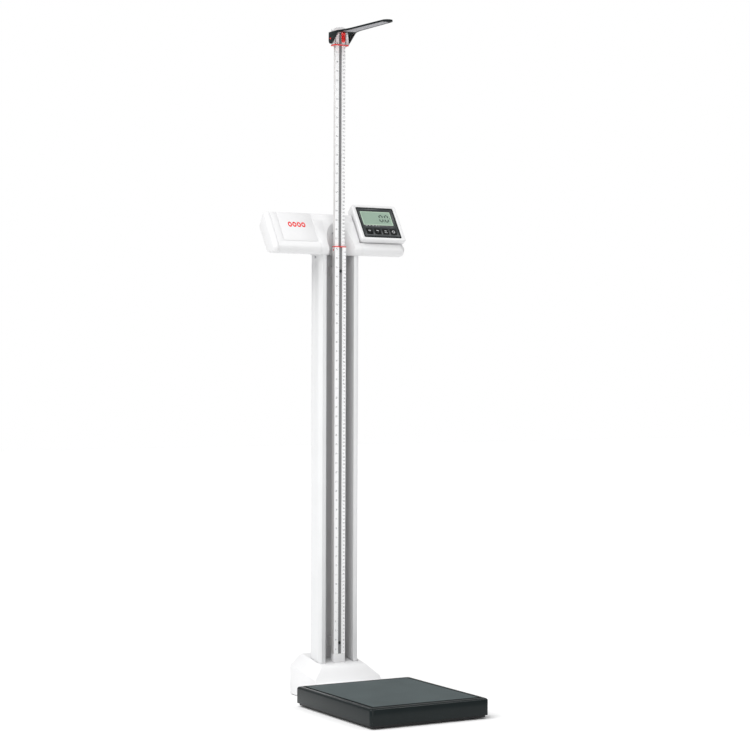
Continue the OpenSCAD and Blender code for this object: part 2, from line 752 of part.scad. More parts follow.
// Part of the section that the battery door covers: the front above door_low, and the top edge
module door_sector(grow) polygon([
    [door_low[0] - 30 - grow, door_low[1] - grow + 17],
    [door_low[0] + 20, door_low[1] - grow - 13.5],
    [73 + grow, 1292],
    [73 + grow, 1340],
    [door_low[0] - 30 - grow, 1340]]);

// Height of the crossbar's leaning front face at depth y, moved out by grow
function lean_z(y, grow) = crossbar_corners[0][1]
    + (crossbar_corners[0][2] + grow + (y - crossbar_corners[0][0]) * cos(front_lean)) / sin(front_lean);

// Everything in front of the leaning face
module ahead_of_crossbar(grow) along_x(-crossbar_half_w, crossbar_half_w)
    polygon([[-60, lean_z(-60, grow)], [100, lean_z(100, grow)], [-60, lean_z(100, grow)]]);

// Upright round scoop behind the rod
module scoop(grow) translate([0, scoop_y, skirt_z - 1]) cylinder(r = scoop_r + grow, h = 200, $fn = 96);

// Centre piece: sleeve over the top of the column, with the crossbar's front face and the scoop in it
module crossbar_bridge() color(white) difference() {
    at_column() difference() {
        union() {
            along_x(-bridge_half_w, bridge_half_w) crossbar_section(0);
            difference() {
                translate([0, 0, skirt_z]) linear_extrude(skirt_top_z - skirt_z)
                    column_outline(skirt_t + fit_gap);
                ahead_of_crossbar(0);
            }
            box(-recess_half_w, recess_half_w, -skirt_t - fit_gap, recess_back - liner_t - fit_gap,
                skirt_z, 1236);
        }
        difference() {
            along_x(-bridge_half_w - 1, bridge_half_w + 1) crossbar_section(crossbar_wall);
            box(-bridge_half_w - 2, bridge_half_w + 2, -40, bridge_solid_y, 1180, 1400);
        }
        difference() {
            translate([0, 0, skirt_z - 1]) linear_extrude(column_top_z + fit_gap - skirt_z + 1)
                column_outline(fit_gap);
            ahead_of_crossbar(-crossbar_wall);
        }
        scoop(0);
        rod_along_x(cable_x, 70, cable_y, cable_exit_z, 4);
        box(-70, 70, column_d, column_d + 4.2, 1249.5, 1275.5);
    }
    head_pocket();
}

// Flat steel bar that ties both housings to the back of the column
module crossbar_bar() color(steel)
    at_column() box(-150, 150, column_d + eps, column_d + 3.6, 1250, 1275);

// Screws that hold the crossbar to the sides and the back of the column
module side_screws() color(grey)
    at_column() {
        for (s = [-1, 1]) {
            rod_along_x(s > 0 ? 58.5 : -62.6, s > 0 ? 62.6 : -58.5, 30, 1199, 1.5);
            rod_along_x(s > 0 ? 61.02 : -62.6, s > 0 ? 62.6 : -61.02, 30, 1199, 3);
        }
        rod_along_y(31, 32.7, scoop_screw[0], scoop_screw[1], 3.2);
    }

module battery_housing() color(white)
    at_column() difference() {
        along_x(-end_cap_x, -housing_x0) crossbar_section(0);
        along_x(-end_cap_x - 1, -housing_x0 + 1) crossbar_section(crossbar_wall);
        intersection() {
            along_x(door_x0 - fit_gap, door_x1 + fit_gap) door_sector(fit_gap + 0.1);
            door_block(fit_gap);
        }
    }

module battery_end_cap() color(white)
    at_column() difference() {
        hull() {
            along_x(-end_cap_x - 6, -end_cap_x - eps) crossbar_section(0);
            along_x(-crossbar_half_w, -crossbar_half_w + 4) crossbar_section(5);
        }
        along_x(-crossbar_half_w + 3, -end_cap_x + 1) crossbar_section(7.5);
    }

// Lid over the batteries: follows the front face and wraps over the top edge
module battery_door() color(white)
    at_column() intersection() {
        along_x(door_x0, door_x1) difference() {
            crossbar_section(0);
            crossbar_section(crossbar_wall);
        }
        along_x(door_x0, door_x1) door_sector(0);
        door_block(0);
    }

// Centre of battery row k in the Y-Z plane
function battery_at(k) = battery_first + k * battery_pitch * [sin(front_lean), cos(front_lean)];

module battery_holder() color(black)
    at_column() translate([0, battery_at(1)[0], battery_at(1)[1]]) rotate([-front_lean, 0, 0])
        difference() {
            translate([door_x0 + 3, 7.4, -25]) cube([104, 3, 50]);
            for (x = [door_x0 + 25, door_x1 - 35]) translate([x, 0, -15]) cube([10, 20, 30]);
        }

module batteries() color("goldenrod")
    at_column() for (k = [0:2], i = [0, 1]) {
        x = door_x0 + 3 + i * (battery_l + 2.5);
        c = battery_at(k);
        rod_along_x(x, x + battery_l - 1, c[0], c[1], battery_r);
        rod_along_x(x + battery_l - 1.5, x + battery_l + 0.5, c[0], c[1], 2.7);
    }

// ---------- display ----------

// Frame on the face of the display head
module at_display() at_column() translate([display_x, display_y, display_z])
    rotate([90 - display_tilt, 0, 0]) children();

module at_display_screws() for (x = [-62, 62], y = [-52, 57]) translate([x, y, 0]) children();

// Slab in the display frame with rounded corners, between depths d0 and d1 below the face
module face_slab(inset, d0, d1) translate([0, 0, -d1]) linear_extrude(d1 - d0)
    round_rect(-face_half_w + inset, face_half_w - inset, face_low + inset, face_high - inset,
        face_r - inset);

// Room round the display head, open at the top and on the right, wider on the left
module head_pocket() at_display() translate([0, 0, -head_depth - 1]) linear_extrude(200)
    translate([-face_half_w - 3.4, face_low - 2]) square([200, 200]);

// Lower housing that the display head sits in, with a rounded right-hand end
module display_housing() color(white) difference() {
    at_column() {
        difference() {
            along_x(housing_x0, housing_x1) crossbar_section(0);
            along_x(housing_x0 - 1, housing_x1 + 1) crossbar_section(crossbar_wall);
        }
        hull() {
            along_x(housing_x1 - 2, housing_x1 + 1) crossbar_section(0);
            along_x(194, 195) crossbar_section(3.5);
            along_x(200, 201) translate([4, 4]) crossbar_section(8.5);
            along_x(crossbar_half_w - 2, crossbar_half_w) translate([9, 8]) crossbar_section(11);
        }
    }
    head_pocket();
}

module display_back() color(white)
    at_display() difference() {
        face_slab(1, split_depth + eps, head_depth);
        face_slab(1 + shell_wall, split_depth - 1, head_depth - shell_wall);
        translate([-22, -42, -head_depth - 1]) cylinder(r = 5, h = 10);
        at_display_screws() translate([0, 0, -head_depth - 1]) cylinder(r = 1.55, h = 10);
    }

module display_shell() color(white)
    at_display() difference() {
        union() {
            face_slab(0, 3, split_depth);
            hull() {
                face_slab(0, 3, 4);
                face_slab(2.5, 0, 1);
            }
        }
        difference() {
            face_slab(shell_wall, 6, split_depth + 1);
            at_display_screws() translate([0, 0, -split_depth - 2]) cylinder(r = 4, h = 12);
            for (x = [-61, 61], y = [-38, 34]) translate([x, y, -board_z]) cylinder(r = 3, h = 12);
        }
        at_display_screws() translate([0, 0, -split_depth - 2]) cylinder(r = 1.55, h = 10);
        translate([0, 0, -window_t - window_set]) linear_extrude(20) window_outline(0.2);
        translate([window_x - window_half_w + 4, window_y - window_half_h + 4, -10])
            cube([2 * window_half_w - 8, 2 * window_half_h - 8, 12]);
    }

module window_outline(grow) translate([window_x, window_y])
    round_rect(-window_half_w - grow, window_half_w + grow, -window_half_h - grow, window_half_h + grow, 4);

// Dark overlay with openings for the readout and the keys
module display_window() color(black)
    at_display() translate([0, 0, -window_t - window_set + eps]) linear_extrude(window_t) difference() {
        window_outline(0);
        translate([lcd_x - lcd_w / 2 - 0.2, lcd_y - lcd_h / 2 - 0.2]) square([lcd_w + 0.4, lcd_h + 0.4]);
        for (x = key_x) translate([x - key_s / 2 - 0.35, key_y - key_s / 2 - 0.35])
            square([key_s + 0.7, key_s + 0.7]);
    }

module lcd_panel() color([0.56, 0.66, 0.58])
    at_display() translate([lcd_x - lcd_w / 2, lcd_y - lcd_h / 2, -lcd_back])
        cube([lcd_w, lcd_h, lcd_back - window_set - 0.6]);

module display_board() color([0.10, 0.35, 0.18])
    at_display() {
        translate([-64, -44, -board_z - board_t]) cube([128, 84, board_t - eps]);
        translate([lcd_x - 40, lcd_y - 18, -board_z - 2 * eps]) cube([80, 36, board_z - lcd_back]);
        for (x = key_x) translate([x, key_y, -board_z - 2 * eps]) cylinder(r = 3.5, h = 1.6);
    }

module display_screws() color(steel)
    at_display() at_display_screws() {
        translate([0, 0, -head_depth - 0.9]) cylinder(r = 3, h = 0.9 - eps);
        translate([0, 0, -head_depth - 0.5]) cylinder(r = 1.5, h = head_depth - split_depth + 6);
    }

// Square key cap that moves into the display
module key_cap(i) color(black)
    at_display() translate([key_x[i] - key_s / 2, key_y - key_s / 2, key_proud - window_set - key_t])
        cube([key_s, key_s, key_t]);

module key_send() key_cap(0);
module key_tare() key_cap(1);
module key_hold() key_cap(2);
module key_power() key_cap(3);

base_frame();
load_cells();
load_cell_bolts();
load_buttons();
platform_plate();
platform_cover();
tread_mat();
foot_front_left();
foot_front_right();
foot_rear_left();
foot_rear_right();
rear_pads();
column_foot();
column_bolts();
base_cover();
wheel_axle();
wheel_left();
wheel_right();
column_profile();
recess_liner();
signal_cable();
rod_outer();
inch_scale_outer();
cm_scale_outer();
rod_foot_cap();
rod_standoffs();
rod_screws();
rod_index_collar();
latch_button();
rod_inner();
inch_scale_inner();
cm_scale_inner();
rod_glide_shoe();
rod_top_cap();
head_slider();
head_index_line();
pivot_pins();
release_button();
tongue();
tongue_ribs();
crossbar_bridge();
crossbar_bar();
side_screws();
battery_housing();
battery_end_cap();
battery_holder();
batteries();
battery_door();
display_housing();
display_back();
display_shell();
display_window();
lcd_panel();
display_board();
display_screws();
key_send();
key_tare();
key_hold();
key_power();
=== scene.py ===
"""Looks of the column scale: camera, light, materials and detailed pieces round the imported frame."""
import json
import math

import bmesh
import bpy
from mathutils import Matrix, Vector


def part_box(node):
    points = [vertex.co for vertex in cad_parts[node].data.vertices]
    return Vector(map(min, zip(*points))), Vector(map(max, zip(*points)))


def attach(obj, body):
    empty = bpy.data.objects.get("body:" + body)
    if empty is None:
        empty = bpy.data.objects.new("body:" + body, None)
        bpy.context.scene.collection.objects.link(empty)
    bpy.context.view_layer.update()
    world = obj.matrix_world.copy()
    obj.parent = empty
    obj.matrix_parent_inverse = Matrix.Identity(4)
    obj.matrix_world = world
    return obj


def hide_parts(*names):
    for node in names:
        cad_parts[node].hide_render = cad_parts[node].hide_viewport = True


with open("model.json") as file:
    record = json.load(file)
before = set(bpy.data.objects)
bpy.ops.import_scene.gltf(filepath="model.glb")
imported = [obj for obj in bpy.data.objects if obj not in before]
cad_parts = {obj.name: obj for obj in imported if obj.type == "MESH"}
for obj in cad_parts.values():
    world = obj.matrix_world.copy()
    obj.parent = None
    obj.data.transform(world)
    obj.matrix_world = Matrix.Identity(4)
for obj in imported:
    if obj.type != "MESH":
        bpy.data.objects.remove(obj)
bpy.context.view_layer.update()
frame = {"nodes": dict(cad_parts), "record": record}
nodes = frame["nodes"]
record = frame["record"]
body_of = {node: body for body, names in record["behaviour"]["bodies"].items() for node in names}
slot_of = {part["node"]: part["material_slot"] for part in record["subparts"]}
MM = 0.001
scene = bpy.context.scene
scene.view_settings.view_transform = "Standard"

# ---------- camera ----------
# A level camera at the height of the middle of the column, to the front left, with a long lens.
ROD_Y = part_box("inch_scale_outer")[0].y
CAMERA_AT = Vector((-2.597, ROD_Y - 4.7695, 0.90575))
YAW = math.radians(29.57)
ROLL = math.radians(0.171)
LENS = 95.45
SENSOR = 36.0
SHIFT_UP = -10 / 750
camera_data = bpy.data.cameras.new("camera")
camera_data.lens = LENS
camera_data.sensor_width = SENSOR
camera_data.shift_y = SHIFT_UP
camera = bpy.data.objects.new("camera", camera_data)
scene.collection.objects.link(camera)
camera.location = CAMERA_AT
look = Vector((math.sin(YAW), math.cos(YAW), 0))
camera.rotation_mode = "QUATERNION"
camera.rotation_quaternion = look.to_track_quat("-Z", "Y") @ Matrix.Rotation(ROLL, 3, "Z").to_quaternion()
scene.camera = camera

# ---------- light ----------
# A white studio: plain white behind the object, softer light from it on the object.
BACKDROP_LIGHT = 0.40
world = bpy.data.worlds.new("world")
scene.world = world
world.use_nodes = True
world_nodes = world.node_tree.nodes
world_links = world.node_tree.links
ray = world_nodes.new("ShaderNodeLightPath")
seen = world_nodes.new("ShaderNodeBackground")
lighting = world_nodes["Background"]
mix = world_nodes.new("ShaderNodeMixShader")
seen.inputs["Color"].default_value = (1, 1, 1, 1)
lighting.inputs["Color"].default_value = (1, 1, 1, 1)
lighting.inputs["Strength"].default_value = BACKDROP_LIGHT
world_links.new(ray.outputs["Is Camera Ray"], mix.inputs["Fac"])
world_links.new(lighting.outputs["Background"], mix.inputs[1])
world_links.new(seen.outputs["Background"], mix.inputs[2])
world_links.new(mix.outputs["Shader"], world_nodes["World Output"].inputs["Surface"])


def soft_sun(name, towards, strength, spread):
    """Distant lamp that shines along towards, as wide in the sky as spread degrees."""
    data = bpy.data.lights.new(name, "SUN")
    data.energy = strength
    data.angle = math.radians(spread)
    lamp = bpy.data.objects.new(name, data)
    scene.collection.objects.link(lamp)
    lamp.rotation_mode = "QUATERNION"
    lamp.rotation_quaternion = Vector(towards).to_track_quat("-Z", "Y")


soft_sun("key_softbox", (0.52, 0.14, -0.68), 2.8, 60)
soft_sun("front_fill", (0, 1, -0.3), 0.45, 30)
soft_sun("edge_glint", (-0.487, 0.16, -0.858), 0.3, 12)


# ---------- materials ----------
def surface(name, colour, roughness, grain=1400, bump=0.05, shade=0.03, stretch=(1, 1, 1), metallic=0.0,
            coat=0.0, specular=0.5, blotch=14):
    """Principled material: a broad noise varies its colour, a fine one gives it grain and uneven gloss."""
    m = bpy.data.materials.new(name)
    m.use_nodes = True
    tree = m.node_tree
    shader = tree.nodes["Principled BSDF"]
    shader.inputs["Metallic"].default_value = metallic
    shader.inputs["Coat Weight"].default_value = coat
    shader.inputs["Specular IOR Level"].default_value = specular
    place = tree.nodes.new("ShaderNodeTexCoord")
    scale = tree.nodes.new("ShaderNodeMapping")
    scale.inputs["Scale"].default_value = stretch
    tree.links.new(place.outputs["Object"], scale.inputs["Vector"])
    broad = tree.nodes.new("ShaderNodeTexNoise")
    broad.inputs["Scale"].default_value = blotch
    broad.inputs["Detail"].default_value = 3
    fine = tree.nodes.new("ShaderNodeTexNoise")
    fine.inputs["Scale"].default_value = grain
    fine.inputs["Detail"].default_value = 2
    for noise in (broad, fine):
        tree.links.new(scale.outputs["Vector"], noise.inputs["Vector"])
    ramp = tree.nodes.new("ShaderNodeValToRGB")
    for end, factor in ((0, 1 - shade), (1, 1 + shade)):
        ramp.color_ramp.elements[end].position = 0.3 + 0.4 * end
        ramp.color_ramp.elements[end].color = (*[min(1, c * factor) for c in colour], 1)
    tree.links.new(broad.outputs["Fac"], ramp.inputs["Fac"])
    tree.links.new(ramp.outputs["Color"], shader.inputs["Base Color"])
    gloss = tree.nodes.new("ShaderNodeMapRange")
    gloss.inputs["To Min"].default_value = max(0.03, roughness - 0.06)
    gloss.inputs["To Max"].default_value = min(1, roughness + 0.06)
    tree.links.new(fine.outputs["Fac"], gloss.inputs["Value"])
    tree.links.new(gloss.outputs["Result"], shader.inputs["Roughness"])
    relief = tree.nodes.new("ShaderNodeBump")
    relief.inputs["Strength"].default_value = bump
    relief.inputs["Distance"].default_value = 0.2 * MM
    tree.links.new(fine.outputs["Fac"], relief.inputs["Height"])
    tree.links.new(relief.outputs["Normal"], shader.inputs["Normal"])
    return m


ALONG_Z = (1, 1, 0.02)
finishes = {
    "white_plastic": surface("white_plastic", (0.74, 0.74, 0.745), 0.42, shade=0.012),
    "white_coated": surface("white_coated", (0.73, 0.735, 0.74), 0.38, grain=900, bump=0.08, shade=0.015),
    "grey_liner": surface("grey_liner", (0.60, 0.60, 0.605), 0.45, stretch=ALONG_Z, shade=0.04),
    "rod_metal": surface("rod_metal", (0.70, 0.69, 0.685), 0.36, stretch=ALONG_Z, grain=1800,
                         metallic=0.25),
    "ruler_white": surface("ruler_white", (0.90, 0.90, 0.905), 0.5, shade=0.01),
    "black_plastic": surface("black_plastic", (0.016, 0.017, 0.019), 0.36, shade=0.12, specular=0.35),
    "black_gloss": surface("black_gloss", (0.007, 0.011, 0.0115), 0.22, bump=0.02, shade=0.10,
                           specular=0.2),
    "mat_rubber": surface("mat_rubber", (0.064, 0.082, 0.084), 0.6, grain=1000, bump=0.15, shade=0.08,
                          specular=0.3),
    "black_steel": surface("black_steel", (0.014, 0.015, 0.016), 0.5, grain=900, bump=0.12, shade=0.12,
                           specular=0.3),
    "bare_steel": surface("bare_steel", (0.50, 0.51, 0.53), 0.32, grain=700, metallic=1.0, shade=0.07),
    "red_plastic": surface("red_plastic", (0.74, 0.012, 0.010), 0.22, shade=0.05, coat=0.5),
    "grey_rib": surface("grey_rib", (0.36, 0.36, 0.38), 0.5, shade=0.04),
    "foot_rubber": surface("foot_rubber", (0.010, 0.011, 0.012), 0.7, grain=900, bump=0.15, shade=0.15,
                           specular=0.2),
    "wheel_grey": surface("wheel_grey", (0.20, 0.21, 0.215), 0.5, shade=0.06),
    "window_dark": surface("window_dark", (0.024, 0.028, 0.030), 0.3, bump=0.02, shade=0.06, specular=0.3),
    "lcd": surface("lcd", (0.265, 0.365, 0.290), 0.4, grain=2600, bump=0.02, shade=0.03, specular=0.2),
    "board_green": surface("board_green", (0.02, 0.13, 0.045), 0.45, grain=500, shade=0.2, blotch=160),
    "cell_wrap": surface("cell_wrap", (0.50, 0.32, 0.05), 0.35, shade=0.08, blotch=60),
    "cable_black": surface("cable_black", (0.015, 0.015, 0.016), 0.55, shade=0.12),
}
ink = surface("ink", (0.020, 0.021, 0.026), 0.55, shade=0.15, specular=0.2)
# Near-black painted shade for the band round the edge of the tread mat, standing in for the shaded groove
# between mat and rim.
mat_painted_shade = surface("mat_painted_shade", (0.006, 0.008, 0.008), 0.8, shade=0.1, specular=0.05)
# Darker grey painted on the rod channel floors as the shade inside the deep groove.
groove_painted_shade = surface("groove_painted_shade", (0.22, 0.22, 0.225), 0.5, stretch=ALONG_Z, shade=0.05, specular=0.2)
window_edge = surface("window_edge", (0.003, 0.005, 0.005), 0.25, bump=0.02, shade=0.15, specular=0.1)
key_face = surface("key_face", (0.005, 0.006, 0.006), 0.45, shade=0.15, specular=0.15)
lcd_border = surface("lcd_border", (0.42, 0.56, 0.43), 0.4, grain=2600, bump=0.02, shade=0.02)
lcd_ink = surface("lcd_ink", (0.020, 0.040, 0.032), 0.5, shade=0.1)
key_print = surface("key_print", (0.55, 0.56, 0.57), 0.5, shade=0.05)
floor_paper = surface("floor_paper", (0.95, 0.95, 0.95), 0.85, grain=300, shade=0.01, blotch=2)

for node, thing in nodes.items():
    thing.data.materials.clear()
    thing.data.materials.append(finishes[slot_of[node]])
for node in ("key_send", "key_tare", "key_hold", "key_power"):
    nodes[node].data.materials[0] = key_face

bpy.ops.mesh.primitive_plane_add(size=30)
floor = bpy.context.object
floor.name = "floor"
floor.data.materials.append(floor_paper)


# ---------- making pieces ----------
def piece(name, mesh, like, material=None, replaced=False, smooth=35):
    """Object that rides with the CAD node like; with replaced on it stands in for that node."""
    thing = bpy.data.objects.new(name, mesh)
    scene.collection.objects.link(thing)
    mesh.materials.clear()
    mesh.materials.append(material or finishes[slot_of[like]])
    mesh.shade_smooth()
    mesh.set_sharp_from_angle(angle=math.radians(smooth))
    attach(thing, body_of[like])
    if replaced:
        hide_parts(like)
    return thing


def to_mesh(name, bm):
    bmesh.ops.recalc_face_normals(bm, faces=bm.faces)
    mesh = bpy.data.meshes.new(name)
    bm.to_mesh(mesh)
    bm.free()
    return mesh


def rounded_copy(node, width, segments=2, smooth=40, seams=()):
    """The CAD node with its sharp edges rounded to that width in mm, except where x lies on a seam."""
    bm = bmesh.new()
    bm.from_mesh(nodes[node].data)
    bmesh.ops.remove_doubles(bm, verts=bm.verts, dist=0.004 * MM)
    bmesh.ops.dissolve_limit(bm, angle_limit=math.radians(0.5), verts=bm.verts, edges=bm.edges)
    sharp = [e for e in bm.edges if len(e.link_faces) == 2 and e.calc_face_angle(0) > math.radians(30)]
    for x in seams:
        sharp = [e for e in sharp if any(abs(v.co.x - x * MM) > 0.6 * MM for v in e.verts)]
    bmesh.ops.bevel(bm, geom=sharp, offset=width * MM, offset_type="OFFSET", segments=segments, profile=0.5,
                    affect="EDGES", clamp_overlap=True)
    thing = piece(node + "_moulded", to_mesh(node + "_moulded", bm), node, replaced=True, smooth=smooth)
    thing.data.materials[0] = nodes[node].data.materials[0]
    return thing


RING_STEPS = 28


class Marks:
    """Collects small raised shapes on one flat face, in mm: x to the right, y up, levels above the face."""
    def __init__(self, origin, right, up):
        self.origin = Vector(origin)
        self.right = Vector(right).normalized()
        self.up = Vector(up).normalized()
        self.out = self.right.cross(self.up)
        self.verts = []
        self.faces = []

    def add(self, outline, low, high):
        """Prism over a convex or simple outline of (x, y) in mm."""
        n = len(outline)
        first = len(self.verts)
        for level in (low, high):
            for x, y in outline:
                self.verts.append(self.origin + (self.right * x + self.up * y + self.out * level) * MM)
        self.faces.append([first + k for k in reversed(range(n))])
        self.faces.append([first + n + k for k in range(n)])
        for k in range(n):
            after = (k + 1) % n
            self.faces.append([first + k, first + after, first + n + after, first + n + k])

    def bar(self, x, y, w, h, low=-0.02, high=0.06):
        """Rectangular prism centred on (x, y)."""
        left, right, bottom, top = x - w / 2, x + w / 2, y - h / 2, y + h / 2
        self.add([(left, bottom), (right, bottom), (right, top), (left, top)], low, high)

    def ring(self, x, y, outer, inner, start=0, sweep=360, stretch=1.0, low=-0.02, high=0.08):
        """Band of a circle, or of an ellipse with stretch, as prisms that share their corner points."""
        steps = RING_STEPS
        closed = sweep >= 360
        count = steps if closed else steps + 1
        first = len(self.verts)
        for k in range(count):
            angle = math.radians(start + sweep * k / steps)
            for radius, level in ((inner, low), (outer, low), (outer, high), (inner, high)):
                spot = self.right * (x + radius * math.cos(angle) * stretch)
                spot = spot + self.up * (y + radius * math.sin(angle)) + self.out * level
                self.verts.append(self.origin + spot * MM)
        for k in range(steps):
            here = first + 4 * k
            there = first + 4 * ((k + 1) % count)
            for c in range(4):
                d = (c + 1) % 4
                self.faces.append([here + c, here + d, there + d, there + c])
        if not closed:
            last = first + 4 * (count - 1)
            self.faces.append([first, first + 3, first + 2, first + 1])
            self.faces.append([last, last + 1, last + 2, last + 3])

    def frame(self, w, h, band, r, low=-0.02, high=0.1, y=0.0):
        """Rounded rectangular band, w by h outside, centred on (0, y)."""
        outer = rounded_outline(w, h, r)
        inner = rounded_outline(w - 2 * band, h - 2 * band, max(0.3, r - band))
        n = len(outer)
        first = len(self.verts)
        for ring, level in ((inner, low), (outer, low), (outer, high), (inner, high)):
            for px, py in ring:
                spot = self.right * px + self.up * (y + py) + self.out * level
                self.verts.append(self.origin + spot * MM)
        for k in range(n):
            after = (k + 1) % n
            for c in range(4):
                d = (c + 1) % 4
                self.faces.append([first + c * n + k, first + c * n + after, first + d * n + after,
                                   first + d * n + k])

    def finish(self, name, like, material, slot):
        mesh = bpy.data.meshes.new(name)
        mesh.from_pydata(self.verts, [], self.faces)
        bm = bmesh.new()
        bm.from_mesh(mesh)
        bpy.data.meshes.remove(mesh)
        piece(name, to_mesh(name, bm), like, material)


def rounded_outline(w, h, r, steps=5):
    """Corner points, in order, of a rectangle with rounded corners round the origin."""
    cx = w / 2 - r
    cy = h / 2 - r
    points = []
    for quarter, (sx, sy) in enumerate(((1, 1), (-1, 1), (-1, -1), (1, -1))):
        for k in range(steps + 1):
            angle = math.radians(90 * quarter + 90 * k / steps)
            points.append((sx * cx + r * math.cos(angle), sy * cy + r * math.sin(angle)))
    return points


def face_of(node, out):
    """Middle, width and height in mm, right and up of the largest flat face that looks along out."""
    mesh = nodes[node].data
    near = [face for face in mesh.polygons if face.normal.dot(Vector(out).normalized()) > 0.99]
    largest = max(near, key=lambda face: face.area)
    out = largest.normal.copy()
    level = largest.center.dot(out)
    flush = [face for face in near if abs(face.center.dot(out) - level) < 0.1 * MM]
    spots = [mesh.vertices[k].co for face in flush for k in face.vertices]
    up = out.cross(Vector((1, 0, 0))).normalized()
    right = up.cross(out)
    xs = [p.dot(right) for p in spots]
    ys = [p.dot(up) for p in spots]
    middle = right * (min(xs) + max(xs)) / 2 + up * (min(ys) + max(ys)) / 2 + out * level
    return middle, (max(xs) - min(xs)) / MM, (max(ys) - min(ys)) / MM, right, up


joints = {joint["name"]: joint for joint in record["behaviour"]["joints"]}
BASE_SEAMS = (-63.6, -64, 63.6, 64)

# ---------- moulded and rounded parts ----------
for node, width in {
    "base_cover": 2.0, "battery_end_cap": 1.2, "battery_door": 0.35, "display_back": 1.2,
    "display_shell": 1.4,
    "head_slider": 0.8, "head_index_line": 0.4, "column_profile": 0.5, "rod_outer": 0.3, "rod_inner": 0.3,
    "rod_foot_cap": 0.8, "rod_top_cap": 0.5, "tongue": 0.5, "tongue_ribs": 0.4, "rod_index_collar": 0.3,
    "display_window": 0.2, "key_send": 0.6, "key_tare": 0.6, "key_hold": 0.6, "key_power": 0.6,
    "foot_front_left": 0.5, "foot_front_right": 0.5, "foot_rear_left": 0.5, "foot_rear_right": 0.5,
    "wheel_left": 0.5, "wheel_right": 0.5, "rear_pads": 0.5, "latch_button": 0.3, "pivot_pins": 0.4,
    "base_frame": 0.5, "wheel_axle": 0.5, "rod_screws": 0.2, "side_screws": 0.3,
}.items():
    rounded_copy(node, width)
for node in ("crossbar_bridge", "battery_housing", "display_housing"):
    rounded_copy(node, 0.5, seams=BASE_SEAMS)
rounded_copy("platform_cover", 0.35, smooth=50)


def darken_groove(rod, left, right, depth=6):
    """Second, darker grey material inside the channel of a rod, between its two ruler strips: painted shade
    of the deep groove.
    """
    thing = bpy.data.objects[rod + "_moulded"]
    thing.data.materials.append(groove_painted_shade)
    x0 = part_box(left)[1].x
    x1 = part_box(right)[0].x
    y0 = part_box(left)[0].y
    for face in thing.data.polygons:
        if x0 < face.center.x < x1 and y0 + 0.5 * MM < face.center.y < y0 + depth * MM:
            face.material_index = 1


# Painted shade on the channel floors of both rods.
darken_groove("rod_outer", "inch_scale_outer", "cm_scale_outer")
darken_groove("rod_inner", "inch_scale_inner", "cm_scale_inner")


# ---------- tread mat ----------
def tread_mat(pitch=2.7, relief=0.4, chamfer=0.5, border=6):
    """Mat whose top is a lattice of small raised diamonds; a near-black band along its border is painted
    shade of the groove round the mat.
    """
    lo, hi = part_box("tread_mat")
    columns = int((hi.x - lo.x) / MM / pitch)
    rows = int((hi.y - lo.y) / MM / pitch)
    verts = []
    faces = []
    for j in range(rows + 1):
        for i in range(columns + 1):
            edge = i in (0, columns) or j in (0, rows)
            drop = chamfer if edge else (relief if (i + j) % 2 else 0)
            x = lo.x + (hi.x - lo.x) * i / columns
            y = lo.y + (hi.y - lo.y) * j / rows
            verts.append((x, y, hi.z - drop * MM))
    wide = columns + 1
    for j in range(rows):
        for i in range(columns):
            a = j * wide + i
            b, c, d = a + 1, a + wide + 1, a + wide
            faces += [(a, b, c), (a, c, d)] if (i + j) % 2 else [(a, b, d), (b, c, d)]
    rim = list(range(wide))
    rim += [j * wide + columns for j in range(1, rows + 1)]
    rim += [rows * wide + i for i in range(columns - 1, -1, -1)]
    rim += [j * wide for j in range(rows - 1, 0, -1)]
    low = len(verts)
    verts += [(verts[k][0], verts[k][1], lo.z) for k in rim]
    n = len(rim)
    for k in range(n):
        after = (k + 1) % n
        faces.append((rim[after], rim[k], low + k, low + after))
    faces.append([low + k for k in reversed(range(n))])
    mesh = bpy.data.meshes.new("tread_mat_pattern")
    mesh.from_pydata(verts, [], faces)
    mat = piece("tread_mat_pattern", mesh, "tread_mat", replaced=True, smooth=8)
    # Faces within border mm of the mat's edge get the painted shade of the groove.
    mat.data.materials.append(mat_painted_shade)
    for face in mat.data.polygons:
        at = face.center
        if min(at.x - lo.x, hi.x - at.x, at.y - lo.y, hi.y - at.y) < border * MM:
            face.material_index = 1


tread_mat()

# ---------- rulers ----------
SEGMENTS = {
    "0": "abcdef", "1": "bc", "2": "abged", "3": "abgcd", "4": "fgbc",
    "5": "afgcd", "6": "afgedc", "7": "abc", "8": "abcdefg", "9": "abcdfg"}


def numeral(marks, digit, x, y, w, h, pen, high=0.06, lean=0.0):
    """Stroke numeral w by h: each stroke is a bar, and the strokes of one numeral do not cross."""
    half = h / 2
    across = w - 2.2 * pen
    rise = half - 1.6 * pen
    side = w / 2 - pen / 2
    spots = {
        "a": (0, half - pen / 2, across, pen),
        "g": (0, 0, across, pen),
        "d": (0, pen / 2 - half, across, pen),
        "b": (side, half / 2, pen, rise),
        "c": (side, -half / 2, pen, rise),
        "f": (-side, half / 2, pen, rise),
        "e": (-side, -half / 2, pen, rise)}
    for stroke in SEGMENTS[digit]:
        sx, sy, sw, sh = spots[stroke]
        marks.bar(x + sx + lean * sy, y + sy, sw, sh, high=high)


def number(marks, value, x, y, h):
    """Whole number centred on x."""
    text = str(value)
    step = h * 0.62
    start = x - (len(text) - 1) / 2 * step
    for k, digit in enumerate(text):
        numeral(marks, digit, start + k * step, y, h * 0.52, h, h * 0.16)


LONG_TICK = 2.6
SHORT_TICK = 1.5
TICK_LINE = 0.24
TICK_MARGIN = 0.3
NUMBER_H = 4.8
NUMBER_SHIFT = 1.0
END_MARGIN = 4


